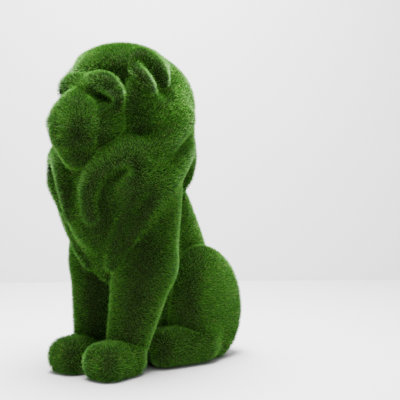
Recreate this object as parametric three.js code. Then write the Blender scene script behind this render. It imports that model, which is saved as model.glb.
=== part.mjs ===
// Artificial topiary lion, sitting, covered all over in clipped turf. One closed body.
// Millimetres, +Z up. The lion faces -Y and its left side is +X.
// The origin is under the middle of the body, on the ground.
import * as THREE from "three";

// Overall height of the lion.
const HEIGHT = 1500;
// Width of one facet of the body.
const FACET = 36;

// The form is given in shares of the height: the crown is 100 of them up, and the ground cuts
// the feet off flat this many of them up. So h turns shares into millimetres.
const GROUND = 1.1;
const h = HEIGHT / (100 - GROUND);

// Paws and feet, half sizes.
const FOREPAW = [7, 9.7, 5.9];
const HIND_FOOT = [5.9, 12, 6.3];
const TOE_ROUNDING = 5.3;
// How far the hind feet turn their toes inward, degrees.
const TOE_IN = 20;

// Thighs: thick discs, by half thickness, reach along the body, reach up, edge rounding, how
// much thinner they get towards the rim, and how far they lean forward in degrees.
const THIGH = { half: 8, along: 15.1, up: 19.6, rounding: 6.8, dome: 2, lean: 20 };

// Forelegs: half the distance between them and their radius, at shoulder, elbow and ankle.
const SHOULDER = { apart: 9.3, radius: 10.6 };
const ELBOW = { apart: 8.9, radius: 9.7 };
const ANKLE = { apart: 6.9, radius: 6.7 };

// Face and ears, half sizes.
const MUZZLE = [8.2, 8.7, 9.2];
const MUZZLE_ROUNDING = 7;
const NOSE_BRIDGE = [5.2, 8, 6.5];
const CHIN = [6.7, 7.7, 5];
const EAR = [7.7, 4.9, 8.4];

// Swept forms: width at the root, in the middle and at the tip, and how flat they lie.
const BACK = { widths: [15.2, 14.3, 13.4], flat: 0.85 };
const BIB = { widths: [21.8, 13.5, 2.8], flat: 0.6 };
const SIDE_LOCK = { widths: [4, 6.2, 2.4], flat: 0.8 };
const CHEEK_LOCK = { widths: [3.5, 5.6, 2.6], flat: 0.75 };
const INNER_LOCK = { widths: [3.6, 4.5, 2], flat: 0.7 };
const BROW = { widths: [2.8, 3.1, 2.4], flat: 1 };
const CHEST_VALLEY = { widths: [0.8, 2.5, 1.2], flat: 1 };
const EAR_GROOVE = { widths: [1.2, 2.8, 2], flat: 1 };

// Tail: width at the root, in the middle and at the end, and half sizes of its tuft.
const TAIL = [4.6, 3.2, 3.4];
const TUFT = [5.8, 9, 5.8];

// How far neighbouring forms run into each other: a soft swelling, a fold, a sharp crease.
const SWELL = 4;
const FOLD = 2.6;
const CREASE = 1.8;

// Distance functions. Each takes a point and gives about how far it is outside a shape.

const dot = (a, b) => a[0] * b[0] + a[1] * b[1] + a[2] * b[2];
const minus = (a, b) => [a[0] - b[0], a[1] - b[1], a[2] - b[2]];
const mix = (a, b, t) => a + (b - a) * t;

// Turns a point into the frame of a shape that is turned about x, then y, then z, in degrees.
function intoFrame(p, turn) {
  const angles = turn.map(THREE.MathUtils.degToRad);
  const v = new THREE.Vector3(...p);
  v.applyEuler(new THREE.Euler(-angles[0], -angles[1], -angles[2], "XYZ"));
  return [v.x, v.y, v.z];
}

// An egg with three radii.
function egg(p, centre, radii, turn) {
  let q = minus(p, centre);
  if (turn) q = intoFrame(q, turn);
  const a = Math.hypot(q[0] / radii[0], q[1] / radii[1], q[2] / radii[2]);
  const b = Math.hypot(q[0] / radii[0] ** 2, q[1] / radii[1] ** 2, q[2] / radii[2] ** 2);
  return (a * (a - 1)) / (b + 1e-9);
}

// A block with rounded edges.
function cushion(p, centre, half, rounding, turn) {
  let q = minus(p, centre);
  if (turn) q = intoFrame(q, turn);
  const over = q.map((value, axis) => Math.abs(value) - (half[axis] - rounding));
  const outside = Math.hypot(...over.map((value) => Math.max(value, 0)));
  return outside + Math.min(Math.max(...over), 0) - rounding;
}

// A round disc with soft edges that stands upright, facing sideways.
function puck(p, centre, size) {
  const q = intoFrame(minus(p, centre), [size.lean, 0, 0]);
  const away = Math.hypot((q[1] * size.up) / size.along, q[2]);
  const rim = away - (size.up - size.rounding);
  const side = Math.abs(q[0]) + size.dome * (away / size.up) ** 2 - (size.half - size.rounding);
  const outside = Math.hypot(Math.max(rim, 0), Math.max(side, 0));
  return outside + Math.min(Math.max(rim, side), 0) - size.rounding;
}

// A round limb that tapers from one point to another.
function limb(p, from, to, radiusFrom, radiusTo) {
  const along = minus(to, from);
  const away = minus(p, from);
  const t = THREE.MathUtils.clamp(dot(away, along) / dot(along, along), 0, 1);
  const nearest = [away[0] - t * along[0], away[1] - t * along[1], away[2] - t * along[2]];
  return Math.hypot(...nearest) - mix(radiusFrom, radiusTo, t);
}

// A tongue swept along a curve, flattened towards the way it faces.
function tongue(path, widths, facing, flat, steps) {
  const out = new THREE.Vector3(...facing).normalize().toArray();
  const squeeze = (q) => q.map((value, axis) => value + dot(q, out) * out[axis] * (1 / flat - 1));
  const curve = new THREE.CubicBezierCurve3(...path.map((point) => new THREE.Vector3(...point)));
  const spine = curve.getPoints(steps).map((point) => squeeze(point.toArray()));
  const width = (t) => (1 - t) ** 2 * widths[0] + 2 * t * (1 - t) * widths[1] + t * t * widths[2];
  return (p) => {
    const q = squeeze(p);
    let nearest = Infinity;
    for (let i = 0; i < steps; i++) {
      const part = limb(q, spine[i], spine[i + 1], width(i / steps), width((i + 1) / steps));
      nearest = Math.min(nearest, part);
    }
    return nearest * mix(0.35, 1, flat);
  };
}

// Joins two forms, with a fillet of about the given size between them.
function join(a, b, blend) {
  const t = THREE.MathUtils.clamp(0.5 + (0.5 * (b - a)) / blend, 0, 1);
  return mix(b, a, t) - blend * t * (1 - t);
}

// Digs one form out of another, with the edge softened by about the given size.
function dig(a, hole, blend) {
  return -join(-a, hole, blend);
}

// Forms swept along a curve of four points: the back, the point of the bib, the locks of the
// mane and the brow, and two grooves that are dug out between them.
const swept = (path, size, facing) => tongue(path, size.widths, facing, size.flat, 8);
const back = swept([[0, 12, 22.5], [0, 7.8, 32.8], [0, 3.1, 43.2], [0, -2.4, 53.5]], BACK, [1, 0, 0]);
const bibPoint = swept([[0, -17, 56], [0, -18.5, 47], [0, -19.5, 38], [0, -19.5, 29.5]], BIB, [0, -1, 0]);
const sideLock = swept(
  [[15, -3, 67], [23, -16, 61], [16.7, -28.5, 54.5], [5, -22.6, 34]],
  SIDE_LOCK,
  [0.8, -0.6, 0.1],
);
const cheekLock = swept(
  [[17.5, -4, 77], [20, -14, 72], [19, -22.5, 66], [12, -27.5, 60]],
  CHEEK_LOCK,
  [0.8, -0.6, 0.1],
);
const innerLock = swept(
  [[13.5, -25, 65.5], [7.8, -32.6, 62.5], [4.2, -34, 57], [5, -31.5, 48.5]],
  INNER_LOCK,
  [0.5, -0.85, 0.1],
);
const brow = swept(
  [[-1, -28, 85.6], [4.5, -30.5, 89], [11.2, -28, 88.2], [8.6, -26.8, 80.5]],
  BROW,
  [0, -1, 0],
);
const chestValley = swept(
  [[14.5, -27.8, 61.5], [9.8, -33.4, 58], [8.3, -33.8, 53], [9.3, -30.2, 46.5]],
  CHEST_VALLEY,
  [0, -1, 0],
);
const earGroove = swept(
  [[13.3, -21.3, 95.2], [15.2, -19, 94.2], [17, -16, 90], [17, -14.3, 86]],
  EAR_GROOVE,
  [1, 0, 0],
);
const tail = tongue([[0, 24, 4.4], [-22, 32, 2], [-27, 13, 1.2], [-19, -1, 13]], TAIL, [0, 0, 1], 1, 10);

// The trunk, the legs and their feet. The mirrored point m makes both sides alike.
function trunkAndLegs(p, m) {
  let body = back(p);
  const rump = egg(p, [0, 13.5, 16], [15.7, 15.3, 17]);
  const breast = egg(p, [0, -7.5, 36], [13.7, 12.8, 25.5]);
  const belly = egg(p, [0, -2, 24], [12, 13, 16]);
  for (const form of [rump, breast, belly]) body = join(body, form, SWELL);

  const elbow = [ELBOW.apart, -13.3, 33.3];
  const upper = limb(m, [SHOULDER.apart, -12.3, 54.5], elbow, SHOULDER.radius, ELBOW.radius);
  const lower = limb(m, elbow, [ANKLE.apart, -18.5, 11], ELBOW.radius, ANKLE.radius);
  body = join(body, join(upper, lower, FOLD), FOLD);
  body = join(body, cushion(m, [7.3, -24.9, 5.9], FOREPAW, TOE_ROUNDING), CREASE);
  body = join(body, puck(m, [13.2, 10.8, 18.6], THIGH), CREASE);
  return join(body, cushion(m, [13.6, -0.8, 7.2], HIND_FOOT, TOE_ROUNDING, [0, 0, -TOE_IN]), CREASE);
}

// The mane: a bushy core, a bib on the chest, nape lobes, cheeks, jowls and its locks.
function mane(p, m) {
  let hair = egg(p, [0, -5.8, 76], [18.2, 17, 23]);
  const crest = egg(m, [6.2, -1.4, 82.6], [9, 10.8, 11]);
  const bib = egg(p, [0, -15.3, 60.3], [20.9, 18.1, 18.5]);
  const chest = egg(p, [0, -22, 52.5], [10.5, 11.5, 16]);
  for (const form of [crest, bib, bibPoint(p), chest]) hair = join(hair, form, SWELL);
  const nape = egg(m, [8.7, -0.3, 65.7], [8.2, 8.4, 13.3]);
  const cheek = egg(m, [12.1, -10.7, 75], [7.9, 13.7, 13.7]);
  const jowl = egg(m, [13.5, -23, 60], [6.2, 6.9, 9.5]);
  for (const form of [nape, cheek, jowl, sideLock(m), cheekLock(m), innerLock(m)]) {
    hair = join(hair, form, FOLD);
  }
  return dig(hair, chestValley(m), FOLD);
}

// The head: a rounded crown over a flat face, heavy brows, a big blunt muzzle, cheeks, temples
// and ears that lie against the mane.
function head(p, m) {
  const crown = egg(p, [0, -14.3, 90.9], [15.5, 14.1, 9.1]);
  const face = egg(p, [0, -22.7, 79.3], [10.5, 11.3, 12]);
  let muzzle = cushion(p, [0, -31.2, 74.3], MUZZLE, MUZZLE_ROUNDING, [-6, 0, 0]);
  const chin = egg(p, [0, -29.2, 65.9], CHIN);
  const bridge = egg(p, [0, -29.2, 79.5], NOSE_BRIDGE);
  const cheek = egg(m, [6.8, -26, 75], [4.4, 6.5, 8]);
  for (const form of [chin, bridge, cheek]) muzzle = join(muzzle, form, FOLD);
  const temple = egg(m, [12, -19, 81.5], [4.7, 6, 8.5]);
  const ear = egg(m, [12.6, -16, 91.1], EAR, [30, 0, -86]);
  let form = join(crown, face, CREASE);
  for (const next of [brow(m), muzzle, temple, ear]) form = join(form, next, CREASE);
  return dig(form, earGroove(m), CREASE);
}

// Distance outside the whole lion, with everything under the ground cut off flat.
function lion(x, y, z) {
  const p = [x / h, y / h, z / h + GROUND];
  const m = [Math.abs(p[0]), p[1], p[2]];
  let form = join(trunkAndLegs(p, m), mane(p, m), CREASE);
  form = join(form, head(p, m), CREASE);
  const tuft = egg(p, [-17, -4.2, 17.5], TUFT, [12, 0, 0]);
  form = join(form, join(tail(p), tuft, FOLD), CREASE);
  return form * h;
}

// Makes a closed faceted skin of a distance function: one corner in each cell that the
// surface passes through, and one four-sided facet round each grid edge that it crosses.
// The lowest row of cells lies half below the ground, so its corners sit on the ground.
function skin(distance, low, high, cell) {
  const count = low.map((value, axis) => Math.ceil((high[axis] - value) / cell) + 1);
  const place = (i, axis) => low[axis] + i * cell;
  const slot = (i, j, k) => i + count[0] * (j + count[1] * k);
  const value = new Float64Array(count[0] * count[1] * count[2]);
  for (let k = 0; k < count[2]; k++) {
    for (let j = 0; j < count[1]; j++) {
      for (let i = 0; i < count[0]; i++) {
        const z = place(k, 2);
        value[slot(i, j, k)] = z < 0 ? cell : distance(place(i, 0), place(j, 1), z);
      }
    }
  }
  function eachCell(visit) {
    for (let k = 0; k < count[2] - 1; k++) {
      for (let j = 0; j < count[1] - 1; j++) {
        for (let i = 0; i < count[0] - 1; i++) visit(i, j, k);
      }
    }
  }

  // Closes the crevices too narrow for a facet: wherever inside and outside points of a grid
  // square face each other across its diagonals, the whole square goes inside the body.
  const filled = -cell * 0.1;
  let closing = true;
  while (closing) {
    closing = false;
    eachCell((i, j, k) => {
      for (let axis = 0; axis < 3; axis++) {
        const square = [[0, 0], [1, 0], [1, 1], [0, 1]].map(([u, v]) => {
          const at = [i, j, k];
          at[(axis + 1) % 3] += u;
          at[(axis + 2) % 3] += v;
          return slot(...at);
        });
        const inside = square.map((n) => value[n] < 0);
        if (inside[0] !== inside[2] || inside[1] !== inside[3] || inside[0] === inside[1]) continue;
        for (const n of square) if (value[n] >= 0) value[n] = filled;
        closing = true;
      }
    });
  }

  // Fills pockets: outside points that can't be reached from the far corner of the grid.
  const reached = new Uint8Array(value.length);
  const open = [slot(count[0] - 1, count[1] - 1, count[2] - 1)];
  reached[open[0]] = 1;
  while (open.length > 0) {
    const here = open.pop();
    const i = here % count[0];
    const j = Math.floor(here / count[0]) % count[1];
    const k = Math.floor(here / (count[0] * count[1]));
    for (const [a, b, c] of [[1, 0, 0], [-1, 0, 0], [0, 1, 0], [0, -1, 0], [0, 0, 1], [0, 0, -1]]) {
      const at = [i + a, j + b, k + c];
      if (at.some((index, axis) => index < 0 || index >= count[axis])) continue;
      const next = slot(...at);
      if (reached[next] || value[next] < 0) continue;
      reached[next] = 1;
      open.push(next);
    }
  }
  value.forEach((away, n) => {
    if (away >= 0 && !reached[n]) value[n] = filled;
  });

  // Moves a corner onto the surface, a little way only and not out of its own cell.
  const settle = (point, least, most, onGround) => {
    const nudge = cell * 0.1;
    const reach = cell * 0.2;
    const start = point.slice();
    for (let turn = 0; turn < 3; turn++) {
      const here = distance(...point);
      const slope = [0, 1, 2].map((axis) => {
        if (onGround && axis === 2) return 0;
        const ahead = point.slice();
        ahead[axis] += nudge;
        return (distance(...ahead) - here) / nudge;
      });
      const steep = dot(slope, slope);
      if (steep < 0.05) return;
      for (let axis = 0; axis < 3; axis++) {
        const moved = point[axis] - (here * slope[axis]) / steep;
        const near = THREE.MathUtils.clamp(moved, start[axis] - reach, start[axis] + reach);
        point[axis] = THREE.MathUtils.clamp(near, least[axis], most[axis]);
      }
    }
  };

  const corners = [];
  const cornerOf = new Int32Array(value.length).fill(-1);
  eachCell((i, j, k) => {
    const sum = [0, 0, 0];
    let crossings = 0;
    let groundOnly = true;
    for (let axis = 0; axis < 3; axis++) {
      for (let side = 0; side < 4; side++) {
        const from = [i, j, k];
        from[(axis + 1) % 3] += side & 1;
        from[(axis + 2) % 3] += side >> 1;
        const to = from.slice();
        to[axis] += 1;
        const a = value[slot(...from)];
        const b = value[slot(...to)];
        if (a < 0 === b < 0) continue;
        const t = a / (a - b);
        for (let n = 0; n < 3; n++) sum[n] += place(mix(from[n], to[n], t), n);
        crossings += 1;
        if (axis < 2) groundOnly = false;
      }
    }
    if (crossings === 0) return;
    const point = sum.map((total) => total / crossings);
    const inset = cell * 0.06;
    const least = [place(i, 0) + inset, place(j, 1) + inset, place(k, 2) + inset];
    const most = least.map((edge) => edge + cell - 2 * inset);
    if (k === 0) {
      point[2] = 0;
      least[2] = 0;
      most[2] = 0;
    }
    if (k > 0 || !groundOnly) settle(point, least, most, k === 0);
    cornerOf[slot(i, j, k)] = corners.length;
    corners.push(point);
  });

  // Lays a facet round each grid edge that leaves or enters the body, facing outward.
  const faces = [];
  const gap = (a, b) => Math.hypot(...minus(corners[a], corners[b]));
  eachCell((i, j, k) => {
    for (let axis = 0; axis < 3; axis++) {
      const to = [i, j, k];
      to[axis] += 1;
      const startsInside = value[slot(i, j, k)] < 0;
      const endsInside = value[slot(...to)] < 0;
      if (startsInside === endsInside) continue;
      const round = [[1, 1], [0, 1], [0, 0], [1, 0]].map(([u, v]) => {
        const at = [i, j, k];
        at[(axis + 1) % 3] -= u;
        at[(axis + 2) % 3] -= v;
        return cornerOf[slot(...at)];
      });
      if (endsInside) round.reverse();
      const [first, second, third, fourth] = round;
      if (gap(first, third) < gap(second, fourth)) faces.push(first, second, third, first, third, fourth);
      else faces.push(second, third, fourth, second, fourth, first);
    }
  });

  const geometry = new THREE.BufferGeometry();
  geometry.setAttribute("position", new THREE.Float32BufferAttribute(corners.flat(), 3));
  geometry.setIndex(faces);
  return geometry;
}

// The space that holds the lion, with a spare cell all round.
const low = [-29 * h, -44 * h, -FACET / 2];
const high = [26 * h, 34 * h, 102 * h];
const turf = skin(lion, low, high, FACET);

// The origin goes under the middle of the body.
turf.computeBoundingBox();
const middle = turf.boundingBox.getCenter(new THREE.Vector3());
turf.translate(-middle.x, -middle.y, -turf.boundingBox.min.z);
turf.computeVertexNormals();

const material = new THREE.MeshStandardMaterial({ color: 0x3f6a1f, roughness: 0.9, metalness: 0 });
const body = new THREE.Mesh(turf, material);
body.name = "turf_body";

const group = new THREE.Group();
group.name = "topiary_lion";
group.add(body);

export default group;
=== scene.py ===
import math

import bpy
import numpy as np
from mathutils import Matrix, Vector


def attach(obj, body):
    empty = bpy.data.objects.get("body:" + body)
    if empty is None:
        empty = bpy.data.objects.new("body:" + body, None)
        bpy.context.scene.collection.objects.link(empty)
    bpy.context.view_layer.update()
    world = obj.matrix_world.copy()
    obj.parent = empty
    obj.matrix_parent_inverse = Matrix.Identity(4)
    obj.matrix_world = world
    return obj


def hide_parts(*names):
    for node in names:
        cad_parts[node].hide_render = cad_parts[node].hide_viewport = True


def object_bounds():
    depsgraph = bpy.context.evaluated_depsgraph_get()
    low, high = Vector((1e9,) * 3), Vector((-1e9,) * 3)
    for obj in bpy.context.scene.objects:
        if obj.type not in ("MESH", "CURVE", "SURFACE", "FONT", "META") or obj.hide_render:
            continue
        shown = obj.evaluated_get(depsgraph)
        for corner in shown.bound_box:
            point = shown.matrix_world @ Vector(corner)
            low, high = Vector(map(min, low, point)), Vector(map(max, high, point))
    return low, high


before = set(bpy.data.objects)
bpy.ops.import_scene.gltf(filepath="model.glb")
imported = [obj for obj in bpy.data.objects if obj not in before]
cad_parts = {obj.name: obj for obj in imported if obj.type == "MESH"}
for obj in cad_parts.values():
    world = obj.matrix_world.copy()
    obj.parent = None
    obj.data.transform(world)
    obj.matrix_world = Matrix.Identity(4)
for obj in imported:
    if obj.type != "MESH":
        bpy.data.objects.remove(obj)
cad_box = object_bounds()

# The form is given in shares of the lion's height: the crown is 100 of them up, and the ground
# cuts the feet off flat this many of them up.
HEIGHT = 1.5
GROUND = 1.1
SHARE = HEIGHT / (100 - GROUND)
# Where the point between the form's two sides stands in the frame, metres.
STANDS = np.array([0.02194, 0.07717, -GROUND * SHARE])

# How far neighbouring forms run into each other: a soft swelling, a slack fold, a fold, a crease.
SWELL = 4
SLACK = 3
FOLD = 1.6
CREASE = 0.8

# Forms of the body, in shares: the forelegs' joints, half sizes of paws and hind feet, and the
# thighs' half thickness, reach along the body, reach up, edge rounding, dome and forward lean.
SHOULDER = (9.3, -12.3, 54.5)
ELBOW = (8.9, -13.3, 33.3)
ANKLE = (6.9, -18.5, 11)
FOREPAW = (7, 9.7, 5.9)
HIND_FOOT = (5.9, 12, 6.3)
TOE_ROUNDING = 5.3
TOE_IN = 20
THIGH = {"half": 8, "long": 15.1, "tall": 19.6, "rounding": 6.8, "dome": 2, "lean": 20}

# Forms swept along a curve of four points, in shares: the back, the point of the bib, the locks
# of the mane, the brow and the tail, and the grooves that are dug out between them.
BACK = ((0, 12, 22.5), (0, 8.8, 32.8), (0, 4.3, 43.2), (0, -2.4, 53.5))
BIB_POINT = ((0, -17, 56), (0, -18.5, 47), (0, -19.5, 38), (0, -19.5, 29.5))
SIDE_LOCK = ((15, -3, 67), (23, -16, 61), (16.7, -28.5, 54.5), (5, -22.6, 34))
CHEEK_LOCK = ((17.5, -4, 77), (20, -14, 72), (19, -22.5, 66), (12, -27.5, 60))
INNER_LOCK = ((13.5, -25, 65.5), (7.8, -32.6, 62.5), (4.2, -34, 57), (5, -31.5, 48.5))
BROW = ((-1, -27.4, 85.2), (4.5, -29.8, 88.5), (11, -27.4, 87.7), (8.7, -26.2, 80.2))
TAIL = ((0, 24, 4.4), (-22, 32, 2), (-27, 13, 1.2), (-19, -1, 13))
CHEST_VALLEY = ((14.5, -27.8, 61.5), (9.8, -33.4, 58), (8.3, -33.8, 53), (9.3, -30.2, 46.5))
LOCK_EDGE = ((19.4, -24.3, 53.3), (17.4, -25.9, 49.5), (13.8, -27.2, 45), (10.8, -26.3, 39.5))
EAR_GROOVE = ((13.5, -21.1, 94.4), (15.4, -18.8, 93.4), (17.3, -15.8, 89.2), (17.3, -14.1, 85.2))

# Camera: how far round from the front, how far off and how high, metres, and its lens in widths
# of the picture. Its middle line is aimed so far to one side of the lion and so far down.
VIEW_TURN = math.radians(40)
VIEW_AWAY = 4.338
VIEW_HIGH = 0.9944
LENS = 2.25
AIM_SIDE = math.atan(0.125 / LENS)
AIM_DOWN = math.atan(0.1175 / LENS)
FILM = 36

# Turf, metres: cell of the ground skin, pile height, and a blade's width at its root and at its
# tip. Then blades in all and the most in one piece, how far blades stray from upright, the
# share of dry blades, and the start of the random draws.
CELL = 0.0115
PILE = 0.017
ROOT_WIDTH = 0.003
TIP_WIDTH = 0.0009
BLADES = 222000
BLADES_A_PIECE = 49900
LEAN = 0.14
DRY = 0.03
SEED = 41

# Stage, metres: reach of the floor, how far the wall stands behind the lion, and the lamp's
# height and size.
FLOOR_REACH = 14
WALL_BACK = 2.6
LAMP_HIGH = 4.1
LAMP_SIZE = 2.6


def place_camera():
    away = Vector((math.sin(VIEW_TURN), -math.cos(VIEW_TURN), 0))
    across = Vector((math.cos(VIEW_TURN), math.sin(VIEW_TURN), 0))
    ahead = -away * math.cos(AIM_SIDE) + across * math.sin(AIM_SIDE)
    right = across * math.cos(AIM_SIDE) + away * math.sin(AIM_SIDE)
    look = ahead * math.cos(AIM_DOWN) - Vector((0, 0, 1)) * math.sin(AIM_DOWN)
    up = right.cross(look)
    spot = away * VIEW_AWAY + Vector((STANDS[0], STANDS[1], VIEW_HIGH))
    data = bpy.data.cameras.new("camera")
    data.sensor_width = FILM
    data.lens = FILM * LENS
    camera = bpy.data.objects.new("camera", data)
    turned = Matrix((right, up, -look)).transposed().to_4x4()
    camera.matrix_world = Matrix.Translation(spot) @ turned
    bpy.context.scene.collection.objects.link(camera)
    bpy.context.scene.camera = camera


# Distance functions for many points at once, in shares. Each gives about how far the points
# lie outside a shape.


def into_frame(p, turn):
    """Points in the frame of a shape that is turned about x, then y, then z, in degrees."""
    ax, ay, az = np.radians(turn)
    cx, cy, cz = np.cos([ax, ay, az])
    sx, sy, sz = np.sin([ax, ay, az])
    about_x = np.array([[1, 0, 0], [0, cx, -sx], [0, sx, cx]])
    about_y = np.array([[cy, 0, sy], [0, 1, 0], [-sy, 0, cy]])
    about_z = np.array([[cz, -sz, 0], [sz, cz, 0], [0, 0, 1]])
    return p @ (about_z @ about_y @ about_x)


def egg(p, centre, radii, turn=None):
    """An egg with three radii."""
    q = p - np.array(centre, float)
    if turn is not None:
        q = into_frame(q, turn)
    radii = np.array(radii, float)
    a = np.linalg.norm(q / radii, axis=1)
    b = np.linalg.norm(q / radii**2, axis=1) + 1e-9
    return a * (a - 1) / b


def cushion(p, centre, half, rounding, turn=None):
    """A block with rounded edges."""
    q = p - np.array(centre, float)
    if turn is not None:
        q = into_frame(q, turn)
    over = np.abs(q) - (np.array(half, float) - rounding)
    return np.linalg.norm(np.maximum(over, 0), axis=1) + np.minimum(over.max(1), 0) - rounding


def limb(p, start, end, radius_start, radius_end):
    """A round limb that tapers from one point to another."""
    along = np.subtract(end, start).astype(float)
    away = p - np.array(start, float)
    t = np.clip(away @ along / (along @ along), 0, 1)
    radius = radius_start + (radius_end - radius_start) * t
    return np.linalg.norm(away - t[:, None] * along, axis=1) - radius


def tongue(p, path, widths, facing=(0, 0, 1), flat=1.0, steps=8):
    """A tongue swept along a curve of four points, flattened towards the way it faces."""
    out = np.array(facing, float) / np.linalg.norm(facing)

    def squeeze(q):
        return q + (q @ out)[..., None] * out * (1 / flat - 1)

    a, b, c, d = np.array(path, float)
    squeezed = squeeze(p)
    nearest = np.full(len(p), np.inf)
    last = None
    for t in np.linspace(0, 1, steps + 1):
        u = 1 - t
        spot = squeeze(u**3 * a + 3 * u * u * t * b + 3 * u * t * t * c + t**3 * d)
        width = u * u * widths[0] + 2 * u * t * widths[1] + t * t * widths[2]
        if last is not None:
            nearest = np.minimum(nearest, limb(squeezed, last[0], spot, last[1], width))
        last = (spot, width)
    return nearest * (0.35 + 0.65 * flat)


def join(a, b, blend):
    """Two forms as one, with a fillet of about the given size between them."""
    t = np.clip(0.5 + 0.5 * (b - a) / blend, 0, 1)
    return b + (a - b) * t - blend * t * (1 - t)


def dig(a, hole, blend):
    """A form with another dug out of it, its edge softened by about the given size."""
    return -join(-a, hole, blend)


def puck(p, centre, size):
    """A round disc with soft edges and domed sides that stands upright, facing sideways."""
    q = into_frame(p - np.array(centre, float), (size["lean"], 0, 0))
    reach = np.hypot(q[:, 1] * size["tall"] / size["long"], q[:, 2])
    rim = reach - (size["tall"] - size["rounding"])
    side = np.abs(q[:, 0]) + size["dome"] * (reach / size["tall"]) ** 2
    side -= size["half"] - size["rounding"]
    outside = np.hypot(np.maximum(rim, 0), np.maximum(side, 0))
    return outside + np.minimum(np.maximum(rim, side), 0) - size["rounding"]


def join_all(form, parts):
    for part, blend in parts:
        form = join(form, part, blend)
    return form


def trunk_and_legs(p, m):
    """The trunk, the legs and their feet. The mirrored points m make both sides alike."""
    back = tongue(p, BACK, (15.2, 14.3, 13.4), (1, 0, 0), 0.85)
    rump = egg(p, (0, 13.5, 16), (15.7, 15.3, 17))
    breast = egg(p, (0, -7.5, 36), (13.7, 12.8, 25.5))
    belly = egg(p, (0, -2, 24), (12, 13, 16))
    leg = join(limb(m, SHOULDER, ELBOW, 10.6, 9.7), limb(m, ELBOW, ANKLE, 9.7, 6.7), 2.7)
    forepaw = cushion(m, (7.3, -24.9, 5.9), FOREPAW, TOE_ROUNDING)
    thigh = puck(m, (13.2, 10.8, 18.6), THIGH)
    hind_foot = cushion(m, (13.6, -0.8, 7.2), HIND_FOOT, TOE_ROUNDING, (0, 0, -TOE_IN))
    # The crease between foot and thigh fades out towards the heel.
    heel = CREASE + 2.4 * np.clip((p[:, 1] - 1) / 8, 0, 1)
    body = join_all(back, [(rump, SWELL), (breast, SWELL), (belly, SWELL), (leg, FOLD)])
    return join_all(body, [(forepaw, CREASE), (thigh, CREASE), (hind_foot, heel)])


def mane(p, m):
    """The mane: a bushy core, a bib on the chest, nape lobes, cheeks, jowls and its locks."""
    core = egg(p, (0, -5.8, 76), (18.2, 17, 23))
    crest = egg(m, (6.2, -1.4, 82.6), (9, 10.8, 11))
    bib = egg(p, (0, -15.3, 60.3), (20.9, 18.1, 18.5))
    bib_point = tongue(p, BIB_POINT, (21.8, 13.5, 2.8), (0, -1, 0), 0.6)
    chest = egg(p, (0, -22, 52.5), (10.5, 11.5, 16))
    hair = join_all(core, [(crest, SLACK), (bib, SWELL), (bib_point, SLACK), (chest, SLACK)])
    nape = egg(m, (8.7, -0.3, 65.7), (8.2, 8.4, 13.3))
    cheek = egg(m, (12.1, -10.7, 75), (7.9, 13.7, 13.7))
    jowl = egg(m, (13.5, -23, 60.6), (6.6, 7.3, 9.8))
    hair = join_all(hair, [(nape, FOLD), (cheek, FOLD), (jowl, SLACK)])
    side_lock = tongue(m, SIDE_LOCK, (4, 6.2, 2.4), (0.8, -0.6, 0.1), 0.8)
    cheek_lock = tongue(m, CHEEK_LOCK, (3.5, 5.6, 2.6), (0.8, -0.6, 0.1), 0.75)
    inner_lock = tongue(m, INNER_LOCK, (3.6, 4.5, 2), (0.5, -0.85, 0.1), 0.7)
    hair = join_all(hair, [(side_lock, SLACK), (cheek_lock, 2.5), (inner_lock, SWELL)])
    hair = dig(hair, tongue(m, CHEST_VALLEY, (0.8, 2.5, 1.2)), 3.2)
    return dig(hair, tongue(m, LOCK_EDGE, (0.7, 2.2, 0.8)), 1.8)


def head(p, m):
    """The head: a rounded crown, a flat face, heavy brows, a blunt muzzle, temples and ears."""
    crown = egg(p, (0, -13.5, 90.9), (15.6, 14.3, 9.2))
    face = egg(p, (0, -22.7, 79.3), (10.5, 11.3, 12))
    brow = tongue(m, BROW, (3.3, 3.8, 3.2), steps=10)
    muzzle = cushion(p, (0, -31.2, 74.3), (8.2, 8.7, 9.2), 7, (-6, 0, 0))
    chin = egg(p, (0, -29.2, 65.9), (6.7, 7.7, 5))
    bridge = egg(p, (0, -29.2, 79.5), (5.2, 8, 6.5))
    cheek = egg(m, (6.8, -26, 75), (4.4, 6.5, 8))
    nose = egg(m, (3.2, -35.6, 75.4), (4.7, 3.9, 3))
    muzzle = join_all(muzzle, [(chin, 2.7), (bridge, SLACK), (cheek, SLACK), (nose, SLACK)])
    temple = egg(m, (12, -19, 81.5), (4.7, 6, 8.5))
    ear = egg(m, (12.8, -15.8, 90.3), (7.7, 4.9, 8.4), (30, 0, -86))
    parts = [(face, CREASE), (brow, FOLD), (muzzle, FOLD), (temple, 2.5), (ear, 1.2)]
    return join_all(crown, parts)


def hollows(form, m):
    """The form with its ears hollowed and its eye slits cut."""
    form = dig(form, tongue(m, EAR_GROOVE, (1.0, 2.4, 1.7)), 2.2)
    return dig(form, egg(m, (8, -30.4, 82.3), (3.7, 2.6, 1.5), (0, 20, 33)), 1.2)


def tail(p):
    """The tail, which curls round the right side only, and its tuft."""
    stem = tongue(p, TAIL, (4.6, 3.2, 3.4), steps=10)
    return join(stem, egg(p, (-17, -4.2, 17.5), (5.8, 9, 5.8), (12, 0, 0)), 1.3)


def lion(points):
    """Distance outside the tips of the turf, in metres, at points in metres."""
    p = (points - STANDS) / SHARE
    m = np.stack([np.abs(p[:, 0]), p[:, 1], p[:, 2]], 1)
    form = join(trunk_and_legs(p, m), mane(p, m), 1.2)
    form = join(form, head(p, m), CREASE)
    return join(hollows(form, m), tail(p), CREASE) * SHARE


def in_parts(function, points, size=200000):
    """A function's values at many points, worked out for so many of them at a time."""
    return np.concatenate([function(points[i : i + size]) for i in range(0, len(points), size)])


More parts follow.
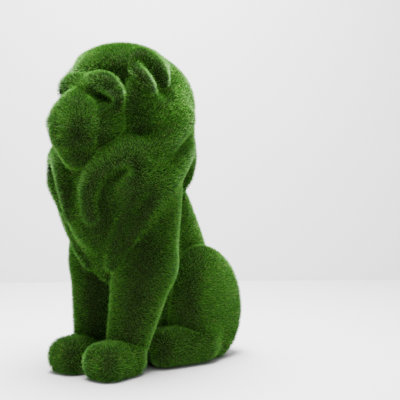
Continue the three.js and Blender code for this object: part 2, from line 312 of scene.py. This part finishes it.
def skin(distance, low, high, cell):
    """A closed skin of a distance function: a corner in each cell that the surface crosses and
    a four-sided face round each grid edge that it crosses."""
    count = np.ceil((high - low) / cell).astype(int) + 1
    axes = [low[a] + cell * np.arange(count[a]) for a in range(3)]
    grid = np.stack(np.meshgrid(*axes, indexing="ij"), -1)
    value = in_parts(distance, grid.reshape(-1, 3)).reshape(count)
    inside = value < 0
    shape = count - 1
    total = np.zeros((*shape, 3))
    crossings = np.zeros(shape)
    for axis in range(3):
        other = [(axis + 1) % 3, (axis + 2) % 3]
        for du in (0, 1):
            for dv in (0, 1):
                near = [slice(None)] * 3
                near[axis] = slice(0, shape[axis])
                near[other[0]] = slice(du, du + shape[other[0]])
                near[other[1]] = slice(dv, dv + shape[other[1]])
                far = list(near)
                far[axis] = slice(1, shape[axis] + 1)
                near = tuple(near)
                far = tuple(far)
                a, b = value[near], value[far]
                cut = inside[near] != inside[far]
                t = np.where(cut, a / np.where(cut, a - b, 1), 0)[..., None]
                total += np.where(cut[..., None], grid[near] + t * (grid[far] - grid[near]), 0)
                crossings += cut
    worn = crossings > 0
    corner = np.full(shape, -1)
    corner[worn] = np.arange(worn.sum())
    points = total[worn] / crossings[worn][:, None]
    faces = []
    for axis in range(3):
        other = [(axis + 1) % 3, (axis + 2) % 3]
        near = [slice(1, n) for n in shape]
        far = list(near)
        near[axis] = slice(0, shape[axis])
        far[axis] = slice(1, shape[axis] + 1)
        starts, ends = inside[tuple(near)], inside[tuple(far)]
        at = np.argwhere(starts != ends)
        leaving = starts[tuple(at.T)]
        at += 1
        at[:, axis] -= 1
        ring = []
        for u, v in ((1, 1), (0, 1), (0, 0), (1, 0)):
            step = at.copy()
            step[:, other[0]] -= u
            step[:, other[1]] -= v
            ring.append(corner[tuple(step.T)])
        ring = np.stack(ring, 1)
        faces.append(np.where(leaving[:, None], ring, ring[:, ::-1]))
    return points, np.concatenate(faces)


def slope(distance, points):
    """Direction straight out of the surface at each point."""
    rise = []
    for nudge in 0.002 * np.eye(3):
        rise.append(in_parts(distance, points + nudge) - in_parts(distance, points - nudge))
    out = np.stack(rise, 1)
    return out / np.maximum(np.linalg.norm(out, axis=1, keepdims=True), 1e-9)


def add_mesh(name, points, faces, material, smooth=False):
    mesh = bpy.data.meshes.new(name)
    mesh.vertices.add(len(points))
    mesh.vertices.foreach_set("co", points.astype(np.float32).ravel())
    sides = faces.shape[1]
    mesh.loops.add(faces.size)
    mesh.loops.foreach_set("vertex_index", faces.astype(np.int32).ravel())
    mesh.polygons.add(len(faces))
    mesh.polygons.foreach_set("loop_start", np.arange(0, faces.size, sides, dtype=np.int32))
    mesh.polygons.foreach_set("use_smooth", np.full(len(faces), smooth))
    mesh.update(calc_edges=True)
    mesh.materials.append(material)
    piece = bpy.data.objects.new(name, mesh)
    bpy.context.scene.collection.objects.link(piece)
    return piece


def node(tree, kind, **values):
    made = tree.nodes.new(kind)
    for key, value in values.items():
        setattr(made, key, value)
    return made


def ramp(tree, factor, stops):
    made = node(tree, "ShaderNodeValToRGB")
    elements = made.color_ramp.elements
    while len(elements) < len(stops):
        elements.new(0.5)
    for element, (place, colour) in zip(elements, stops):
        element.position = place
        element.color = (*colour, 1)
    tree.links.new(factor, made.inputs["Fac"])
    return made.outputs["Color"]


def new_material(name):
    material = bpy.data.materials.new(name)
    material.use_nodes = True
    tree = material.node_tree
    return material, tree, tree.nodes["Principled BSDF"]


def thatch_material():
    """The ground the blades stand in: dark green with brown thatch."""
    material, tree, shader = new_material("turf_thatch")
    where = node(tree, "ShaderNodeTexCoord")
    fine = node(tree, "ShaderNodeTexNoise")
    fine.inputs["Scale"].default_value = 260
    fine.inputs["Detail"].default_value = 3
    tree.links.new(where.outputs["Object"], fine.inputs["Vector"])
    colour = ramp(
        tree,
        fine.outputs["Fac"],
        [(0.3, (0.006, 0.014, 0.003)), (0.55, (0.016, 0.03, 0.006)), (0.75, (0.035, 0.034, 0.012))],
    )
    tree.links.new(colour, shader.inputs["Base Color"])
    shader.inputs["Roughness"].default_value = 0.95
    shader.inputs["Specular IOR Level"].default_value = 0.1
    return material


def blade_material():
    """Blades: each has a tone of its own, with painted shade darkening it towards its root and a
    painted highlight making it pale at its tip.
    """
    material, tree, shader = new_material("turf_blades")
    palette = node(tree, "ShaderNodeUVMap", uv_map="OFBake")
    split = node(tree, "ShaderNodeSeparateXYZ")
    tree.links.new(palette.outputs["UV"], split.inputs["Vector"])
    tip = ramp(
        tree,
        split.outputs["X"],
        [
            (0.0, (0.021, 0.11, 0.008)),
            (0.3, (0.052, 0.21, 0.016)),
            (0.6, (0.097, 0.32, 0.028)),
            (0.85, (0.18, 0.44, 0.07)),
            (0.9, (0.24, 0.26, 0.07)),
            (1.0, (0.32, 0.27, 0.1)),
        ],
    )
    # Painted shade and highlight along each blade: near black at the root where the pile lies in
    # shade, boosted pale and bright at the tip as a painted sheen.
    painted_shade_and_highlight = ramp(
        tree,
        split.outputs["Y"],
        [
            (0.0, (0.01, 0.02, 0.01)),
            (0.5, (0.16, 0.18, 0.14)),
            (0.85, (1.0, 1.05, 0.95)),
            (1.0, (2.6, 2.1, 3.6)),
        ],
    )
    mix = node(tree, "ShaderNodeMix", data_type="RGBA", blend_type="MULTIPLY")
    mix.inputs["Factor"].default_value = 1
    tree.links.new(tip, mix.inputs["A"])
    tree.links.new(painted_shade_and_highlight, mix.inputs["B"])
    tree.links.new(mix.outputs["Result"], shader.inputs["Base Color"])
    shader.inputs["Roughness"].default_value = 0.42
    shader.inputs["Specular IOR Level"].default_value = 0.4
    return material


def make_ground():
    """The ground skin under the pile, closed, and cut off flat just above the floor."""

    def ground(points):
        return np.maximum(lion(points) + PILE, 0.004 - points[:, 2])

    low = np.array(cad_box[0]) - 0.03
    high = np.array(cad_box[1]) + 0.03
    points, faces = skin(ground, low, high, CELL)
    for _ in range(2):
        out = slope(ground, points)
        points -= out * np.clip(in_parts(ground, points), -CELL / 3, CELL / 3)[:, None]
    return points, faces


def unit(vectors):
    return vectors / np.linalg.norm(vectors, axis=-1, keepdims=True)


def make_blades(points, faces, material):
    """Blades all over the ground skin. Each is a thin closed wedge of four faces, wide at its
    root and narrow at its tip, with the two edges set across one another."""
    rng = np.random.default_rng(SEED)
    a, b, c, d = (points[faces[:, n]] for n in range(4))
    area = np.linalg.norm(np.cross(c - a, d - b), axis=1)
    area[(a + b + c + d)[:, 2] / 4 < 0.006] = 0
    share = area / area.sum() * BLADES
    first = np.floor(np.cumsum(share) + rng.random()).astype(int)
    here = np.diff(first, prepend=0)
    chosen = np.repeat(np.arange(len(faces)), here)
    count = len(chosen)
    turn_in_face = np.arange(count) - np.repeat(np.cumsum(here) - here, here)
    u = ((turn_in_face * 0.7549 + rng.random(len(faces))[chosen]) % 1)[:, None]
    v = ((turn_in_face * 0.5698 + rng.random(len(faces))[chosen]) % 1)[:, None]
    ca, cb, cc, cd = a[chosen], b[chosen], c[chosen], d[chosen]
    roots = (ca * (1 - u) + cb * u) * (1 - v) + (cd * (1 - u) + cc * u) * v
    out = slope(lion, roots)
    aim = unit(out + rng.normal(0, LEAN, (count, 3)) + np.array([0, 0, 0.06]))
    roots -= out * 0.002
    long = PILE * rng.normal(1.14, 0.12, (count, 1)).clip(0.8, 1.5)
    tips = roots + aim * long
    side = unit(np.cross(aim, rng.normal(0, 1, (count, 3))))
    thick = np.cross(aim, side)
    wide = rng.uniform(0.75, 1.25, (count, 1))
    spikes = np.stack(
        [
            roots - side * wide * ROOT_WIDTH / 2,
            roots + side * wide * ROOT_WIDTH / 2,
            tips - thick * wide * TIP_WIDTH / 2,
            tips + thick * wide * TIP_WIDTH / 2,
        ],
        1,
    )
    spikes[:, :, 2] = np.maximum(spikes[:, :, 2], 0.0015 + 0.001 * rng.random((count, 4)))

    wave = np.sin(roots @ np.array([9.0, 5.0, 3.0]))
    cross_wave = np.sin(roots @ np.array([-4.0, 7.0, 11.0]) + 1.3)
    tone = (rng.normal(0.42, 0.22, count) + 0.04 * (wave + cross_wave)).clip(0.01, 0.84)
    dry = rng.random(count) < DRY
    tone[dry] = rng.uniform(0.9, 0.99, dry.sum())

    sides = np.array([[0, 3, 2], [1, 2, 3], [0, 1, 3], [1, 0, 2]])
    a, b, c, d = (spikes[:, n] for n in range(4))
    backwards = np.einsum("ij,ij->i", np.cross(b - a, c - a), d - a) < 0
    pieces = []
    for start in range(0, count, BLADES_A_PIECE):
        part = slice(start, min(start + BLADES_A_PIECE, count))
        n = part.stop - part.start
        corners = spikes[part].reshape(-1, 3)
        turned = np.where(backwards[part][:, None, None], sides[None, :, ::-1], sides[None])
        index = (4 * np.arange(n)[:, None, None] + turned).reshape(-1, 3)
        piece = add_mesh(f"turf_pile_{len(pieces) + 1}", corners, index, material)
        # Along each blade the map runs from root to tip, so the blade takes painted shade at its
        # root and a painted highlight at its tip.
        spread = np.array([[-0.004, 0.03], [0.004, 0.03], [-0.003, 0.97], [0.003, 0.97]])
        places = np.stack([tone[part], np.zeros(n)], 1)[:, None] + spread[None]
        layer = piece.data.uv_layers.new(name="OFBake")
        layer.data.foreach_set("uv", places.reshape(-1, 2)[index.ravel()].astype(np.float32).ravel())
        pieces.append(piece)
    return pieces


def make_stage():
    """Pale floor and wall, soft light."""
    white, tree, shader = new_material("stage_white")
    shader.inputs["Base Color"].default_value = (0.59, 0.59, 0.59, 1)
    shader.inputs["Roughness"].default_value = 0.8
    floor_corners = FLOOR_REACH * np.array([(-1, -1, 0), (1, -1, 0), (1, 1, 0), (-1, 1, 0)], float)
    floor = add_mesh("floor", floor_corners, np.array([[0, 1, 2, 3]]), white)
    wall, tree, shader = new_material("stage_wall")
    shader.inputs["Base Color"].default_value = (0.65, 0.65, 0.65, 1)
    shader.inputs["Roughness"].default_value = 0.9
    # The wall can be seen through from behind.
    facing = node(tree, "ShaderNodeNewGeometry")
    clear = node(tree, "ShaderNodeBsdfTransparent")
    choose = node(tree, "ShaderNodeMixShader")
    tree.links.new(facing.outputs["Backfacing"], choose.inputs["Fac"])
    tree.links.new(shader.outputs["BSDF"], choose.inputs[1])
    tree.links.new(clear.outputs["BSDF"], choose.inputs[2])
    tree.links.new(choose.outputs["Shader"], tree.nodes["Material Output"].inputs["Surface"])
    back = Vector((-math.sin(VIEW_TURN), math.cos(VIEW_TURN), 0))
    across = Vector((math.cos(VIEW_TURN), math.sin(VIEW_TURN), 0))
    base = back * WALL_BACK + Vector((STANDS[0], STANDS[1], 0))
    top = Vector((0, 0, FLOOR_REACH))
    left, right = base - across * FLOOR_REACH, base + across * FLOOR_REACH
    wall_corners = np.array([tuple(corner) for corner in (left, right, right + top, left + top)])
    backdrop = add_mesh("backdrop", wall_corners, np.array([[0, 1, 2, 3]]), wall)

    world = bpy.data.worlds.new("studio")
    world.use_nodes = True
    bpy.context.scene.world = world
    tree = world.node_tree
    where = node(tree, "ShaderNodeTexCoord")
    height = node(tree, "ShaderNodeVectorMath", operation="DOT_PRODUCT")
    height.inputs[1].default_value = (Vector((0, 0, 1)) - across * 0.12 - back * 0.05).normalized()
    tree.links.new(where.outputs["Generated"], height.inputs[0])
    greys = [(0.0, 0.2), (0.3, 0.28), (0.9, 1.0)]
    stops = [(place, (grey, grey, grey)) for place, grey in greys]
    glow = ramp(tree, height.outputs["Value"], stops)
    tree.links.new(glow, tree.nodes["Background"].inputs["Color"])
    tree.nodes["Background"].inputs["Strength"].default_value = 1.4

    data = bpy.data.lights.new("overhead", "AREA")
    data.shape = "DISK"
    data.size = LAMP_SIZE
    data.energy = 1350
    light = bpy.data.objects.new("overhead", data)
    light.location = across * -0.05 - back * 0.05 + Vector((0, 0, LAMP_HIGH))
    light.rotation_euler = (Vector((0, 0, 0.7)) - light.location).to_track_quat("-Z", "Y").to_euler()
    bpy.context.scene.collection.objects.link(light)


place_camera()
ground_points, ground_faces = make_ground()
ground = add_mesh("turf_ground", ground_points, ground_faces, thatch_material(), smooth=True)
pile = make_blades(ground_points, ground_faces, blade_material())
for piece in [ground, *pile]:
    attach(piece, "root")
    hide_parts("turf_body")
make_stage()
